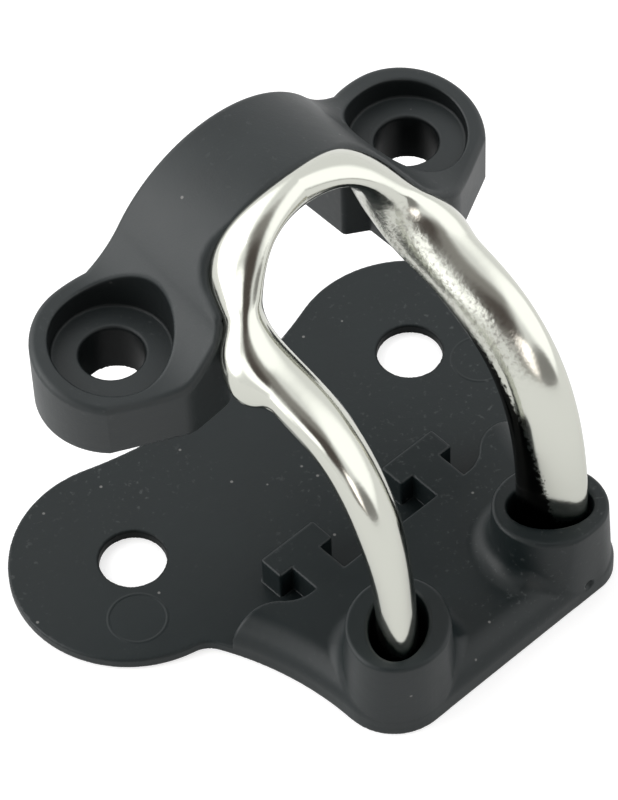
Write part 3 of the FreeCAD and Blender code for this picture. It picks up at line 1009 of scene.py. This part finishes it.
def make_floor():
    """Pale floor, a hair below the part."""
    mesh = bpy.data.meshes.new("floor")
    signs = [(-1, -1), (1, -1), (1, 1), (-1, 1)]
    mesh.from_pydata([(FLOOR_HALF * i, FLOOR_HALF * j, 0) for i, j in signs], [], [(0, 1, 2, 3)])
    floor = add_object("floor", mesh)
    floor.location.z = FLOOR_Z
    material, recipe, surface = new_material("pale_floor")
    recipe.feed(surface["Base Color"], (FLOOR_GREY, FLOOR_GREY, FLOOR_GREY))
    recipe.feed(surface["Roughness"], FLOOR_ROUGHNESS)
    recipe.feed(surface["Specular IOR Level"], 0.0)
    recipe.feed(surface["Emission Color"], WHITE)
    path = recipe.add("LightPath").outputs
    seen = recipe.product(path["Is Camera Ray"], FLOOR_SEEN)
    glow = recipe.scaled(path["Is Glossy Ray"], FLOOR_MIRRORED, seen)
    recipe.feed(surface["Emission Strength"], glow)
    mesh.materials.append(material)


def make_lamp():
    """Weak soft lamp behind the part, on the left."""
    data = bpy.data.lights.new("key", "AREA")
    data.shape = "RECTANGLE"
    data.size, data.size_y = LAMP_SIZE
    data.energy = LAMP_POWER
    lamp = add_object("key", data)
    lamp.location = LAMP_PLACE
    way = Vector(LAMP_AIM) - Vector(LAMP_PLACE)
    lamp.rotation_euler = way.to_track_quat("-Z", "Y").to_euler()


def toward(bearing_deg, height_deg):
    """Direction at this bearing (from -Y toward +X) and height."""
    turn, rise = math.radians(bearing_deg), math.radians(height_deg)
    return (math.sin(turn) * math.cos(rise), -math.cos(turn) * math.cos(rise), math.sin(rise))


def make_world():
    """Studio that lights the part and mirrors in it; the camera sees white."""
    world = bpy.data.worlds.new("studio")
    bpy.context.scene.world = world
    world.use_nodes = True
    recipe = Recipe(world.node_tree)
    way = recipe.add("TexCoord").outputs["Generated"]
    colour = (STUDIO_LEVEL, STUDIO_LEVEL, STUDIO_LEVEL)
    for turn, rise, full, faded, tint, level in STUDIO_PATCHES:
        dot = recipe.add("VectorMath", {0: way, 1: toward(turn, rise)}, operation="DOT_PRODUCT")
        edge = recipe.ramp(dot.outputs["Value"], *[math.cos(math.radians(off)) for off in (faded, full)])
        colour = recipe.blend(edge, colour, tuple(part * level for part in tint))
    studio = recipe.nodes["Background"]
    recipe.feed(studio.inputs["Color"], colour)
    seen = recipe.add("Background", {"Color": WHITE})
    to_camera = recipe.add("LightPath").outputs["Is Camera Ray"]
    shaders = {"Fac": to_camera, 1: studio.outputs["Background"], 2: seen.outputs["Background"]}
    mix = recipe.add("MixShader", shaders)
    recipe.feed(recipe.nodes["World Output"].inputs["Surface"], mix.outputs["Shader"])


def make_camera():
    """Camera of the photo."""
    turn, roll = math.radians(CAMERA_BEARING), math.radians(CAMERA_ROLL)
    back = Vector(toward(CAMERA_BEARING, CAMERA_HEIGHT))
    right = Vector((math.cos(turn), math.sin(turn), 0))
    up = back.cross(right)
    across = right * math.cos(roll) + up * math.sin(roll)
    above = up * math.cos(roll) - right * math.sin(roll)
    place = (Vector(CAMERA_AIM) + back * CAMERA_DISTANCE) * MM
    data = bpy.data.cameras.new("camera")
    data.sensor_fit = "HORIZONTAL"
    data.sensor_width = SENSOR_WIDTH
    data.lens = FOCAL_PIXELS / IMAGE_WIDTH * SENSOR_WIDTH
    data.clip_start = CLIP_START
    camera = add_object("camera", data)
    camera.matrix_world = Matrix((
        (across.x, above.x, back.x, place.x),
        (across.y, above.y, back.y, place.y),
        (across.z, above.z, back.z, place.z),
        (0, 0, 0, 1),
    ))
    bpy.context.scene.camera = camera


# --- the scene ---
def dress(obj, node, material):
    """The finished piece stands for its node and takes the material."""
    obj.data.materials.append(material)
    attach(obj, "root")
    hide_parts(node)


dress(make_bridge(), "bridge",
      plastic("bridge_plastic", BRIDGE_COLOUR, BRIDGE_GRAIN, BRIDGE_HOLE_R, shaded_recess_r=HEAD_RECESS_R))
dress(make_base_plate(), "base_plate",
      plastic("base_plastic", BASE_COLOUR, BASE_GRAIN, SCREW_HOLE_R, rings=EJECTOR_RINGS))
dress(make_rod(), "wire_eye", steel())

make_floor()
make_world()
make_lamp()
make_camera()
bpy.context.scene.view_settings.view_transform = "Standard"
